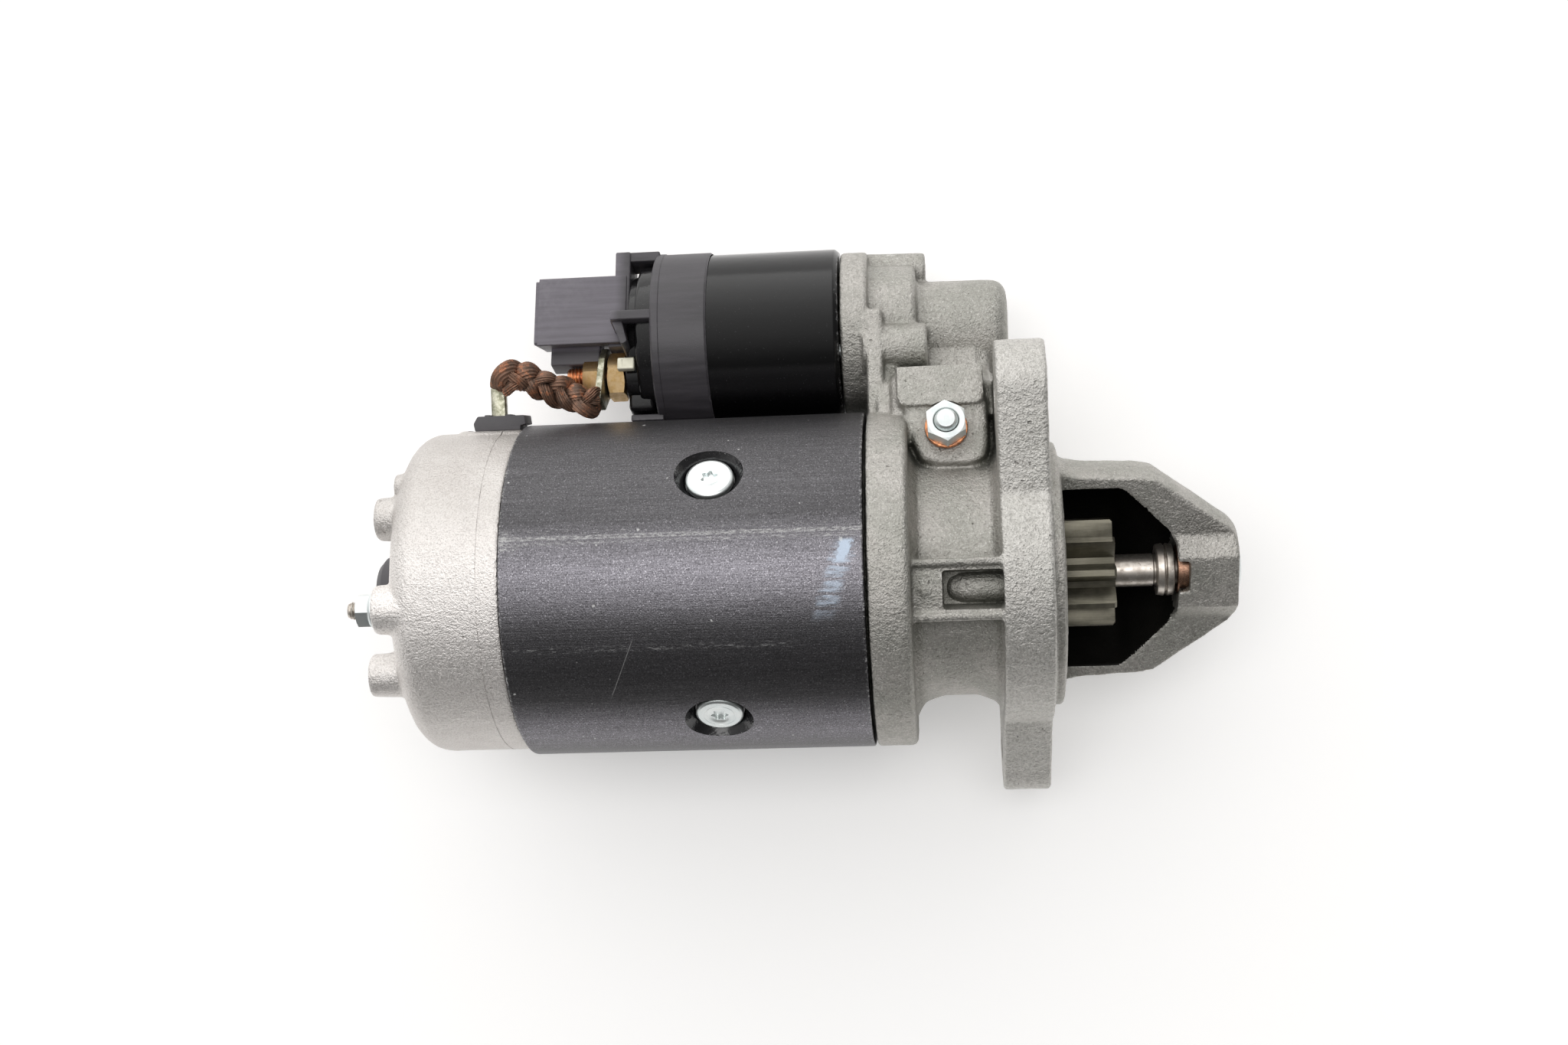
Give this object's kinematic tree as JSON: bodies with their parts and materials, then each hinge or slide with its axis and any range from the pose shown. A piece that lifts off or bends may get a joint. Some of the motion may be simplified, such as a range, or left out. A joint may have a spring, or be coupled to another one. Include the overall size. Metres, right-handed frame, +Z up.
{
  "type": "starter motor",
  "caption": "Pre-engaged car starter motor: black cylindrical motor with a piggyback solenoid, cast aluminium flange housing, open nose and drive pinion.",
  "frame": {"origin": "on the shaft axis, at the end face of the nose cap; the mounting flange's engine-side face is 64.1 mm behind it", "axes": "+X along the shaft towards the pinion nose, +Y towards the solenoid side, +Z up from the table when the motor lies on its pole housing and on the solenoid's clamp ring"},
  "size_m": [0.296, 0.1977, 0.114],
  "materials": {
    "cast_aluminium": "as-cast aluminium with a fine warm-grey grain, edges worn bright",
    "blasted_aluminium": "bead-blasted die-cast aluminium, light warm grey",
    "black_painted_steel": "satin black paint with a fine horizontal grain, scuffed along the seam",
    "gloss_black_steel": "gloss black enamel",
    "black_plastic": "satin black moulded plastic",
    "black_bakelite": "gloss black moulded phenolic",
    "black_rubber": "matt black rubber",
    "zinc_plated_steel": "bluish-white zinc plate",
    "ground_steel": "ground steel with turning marks",
    "oiled_steel": "dark oiled machined steel",
    "electrical_steel": "bare electrical steel",
    "copper": "bare copper, slightly oxidised",
    "oxidised_copper": "dark brown plaited copper with bright strands",
    "brass": "yellow passivated brass",
    "sintered_bronze": "oil-soaked sintered bronze",
    "copper_graphite": "dark copper-graphite compact",
    "enamelled_copper": "enamelled copper winding",
    "cream_insulator": "cream insulating sleeve",
    "tinned_copper": "dull tinned copper"
  },
  "bodies": {
    "casing": {"drive_housing": "cast_aluminium", "commutator_end_cover": "blasted_aluminium", "pole_housing": "black_painted_steel", "field_winding": "enamelled_copper", "rear_bushing": "sintered_bronze", "rear_bearing_cap": "black_rubber", "lead_grommet": "black_rubber", "field_terminal_post": "tinned_copper", "brush_plate": "brass", "front_bushing": "sintered_bronze", "nose_cap": "zinc_plated_steel", "centre_bearing_plate": "oiled_steel", "centre_bushing": "sintered_bronze", "fork_pivot_bolt": "zinc_plated_steel", "pivot_washer": "copper", "fork_pivot_nut": "zinc_plated_steel", "solenoid_can": "gloss_black_steel", "solenoid_coil": "enamelled_copper", "solenoid_core": "oiled_steel", "solenoid_cap": "black_bakelite", "connector_ring": "black_plastic", "motor_terminal_stud": "copper", "battery_terminal_stud": "copper", "motor_terminal_nut": "brass", "battery_terminal_nut": "brass", "lead_clamp_nut": "brass", "braid_lug": "tinned_copper", "switch_terminal": "cream_insulator", "braided_lead": "oxidised_copper", "return_spring": "ground_steel", "pole_shoe_1": "electrical_steel", "pole_screw_1": "zinc_plated_steel", "pole_shoe_2": "electrical_steel", "pole_screw_2": "zinc_plated_steel", "pole_shoe_3": "electrical_steel", "pole_screw_3": "zinc_plated_steel", "pole_shoe_4": "electrical_steel", "pole_screw_4": "zinc_plated_steel", "through_bolt_1": "zinc_plated_steel", "through_bolt_nut_1": "zinc_plated_steel", "through_bolt_2": "zinc_plated_steel", "through_bolt_nut_2": "zinc_plated_steel", "solenoid_screw_1": "zinc_plated_steel", "solenoid_screw_2": "zinc_plated_steel", "solenoid_screw_3": "zinc_plated_steel"},
    "armature": {"armature_shaft": "ground_steel", "armature_core": "electrical_steel", "armature_winding": "enamelled_copper", "commutator": "copper", "stop_ring": "ground_steel"},
    "drive_collar": {"shift_collar": "black_plastic"},
    "clutch": {"overrunning_clutch": "oiled_steel"},
    "drive_pinion": {"pinion": "oiled_steel"},
    "fork": {"shift_fork": "cast_aluminium"},
    "solenoid_plunger": {"plunger": "ground_steel"},
    "switch_contact": {"contact_bridge": "copper"},
    "carbon_brush_1": {"brush_1": "copper_graphite"},
    "carbon_brush_2": {"brush_2": "copper_graphite"},
    "carbon_brush_3": {"brush_3": "copper_graphite"},
    "carbon_brush_4": {"brush_4": "copper_graphite"}
  },
  "joints": [
    {"name": "armature_spin", "type": "hinge", "parent": "casing", "child": "armature", "pos_m": [0, 0, 0], "axis": [1, 0, 0], "continuous": true},
    {"name": "plunger_slide", "type": "slide", "parent": "casing", "child": "solenoid_plunger", "axis": [-1, 0, 0], "range_m": [0, 0.015], "deforming": ["return_spring"]},
    {"name": "fork_swing", "type": "hinge", "parent": "casing", "child": "fork", "pos_m": [-0.0965, 0.03896, -0.01105], "axis": [0, 0.2729, 0.962], "range_deg": [0, 17.2]},
    {"name": "collar_slide", "type": "slide", "parent": "armature", "child": "drive_collar", "axis": [1, 0, 0], "range_m": [0, 0.01216]},
    {"name": "clutch_twist", "type": "hinge", "parent": "drive_collar", "child": "clutch", "pos_m": [0, 0, 0], "axis": [1, 0, 0], "range_deg": [0, 32]},
    {"name": "pinion_overrun", "type": "hinge", "parent": "clutch", "child": "drive_pinion", "pos_m": [0, 0, 0], "axis": [1, 0, 0], "continuous": true},
    {"name": "contact_slide", "type": "slide", "parent": "casing", "child": "switch_contact", "axis": [-1, 0, 0], "range_m": [0, 0.00272]},
    {"name": "brush_1_lift", "type": "slide", "parent": "casing", "child": "carbon_brush_1", "axis": [0, 0.6203, 0.7844], "range_m": [0, 0.005]},
    {"name": "brush_2_lift", "type": "slide", "parent": "casing", "child": "carbon_brush_2", "axis": [0, -0.7844, 0.6203], "range_m": [0, 0.005]},
    {"name": "brush_3_lift", "type": "slide", "parent": "casing", "child": "carbon_brush_3", "axis": [0, -0.6203, -0.7844], "range_m": [0, 0.005]},
    {"name": "brush_4_lift", "type": "slide", "parent": "casing", "child": "carbon_brush_4", "axis": [0, 0.7844, -0.6203], "range_m": [0, 0.005]}
  ],
  "couplings": [
    {"joint": "fork_swing", "follows": "plunger_slide", "rad_per_m": 20},
    {"joint": "collar_slide", "follows": "plunger_slide", "ratio": 0.81},
    {"joint": "clutch_twist", "follows": "plunger_slide", "rad_per_m": 37.2},
    {"joint": "contact_slide", "follows": "plunger_slide", "ratio": 0.18}
  ]
}
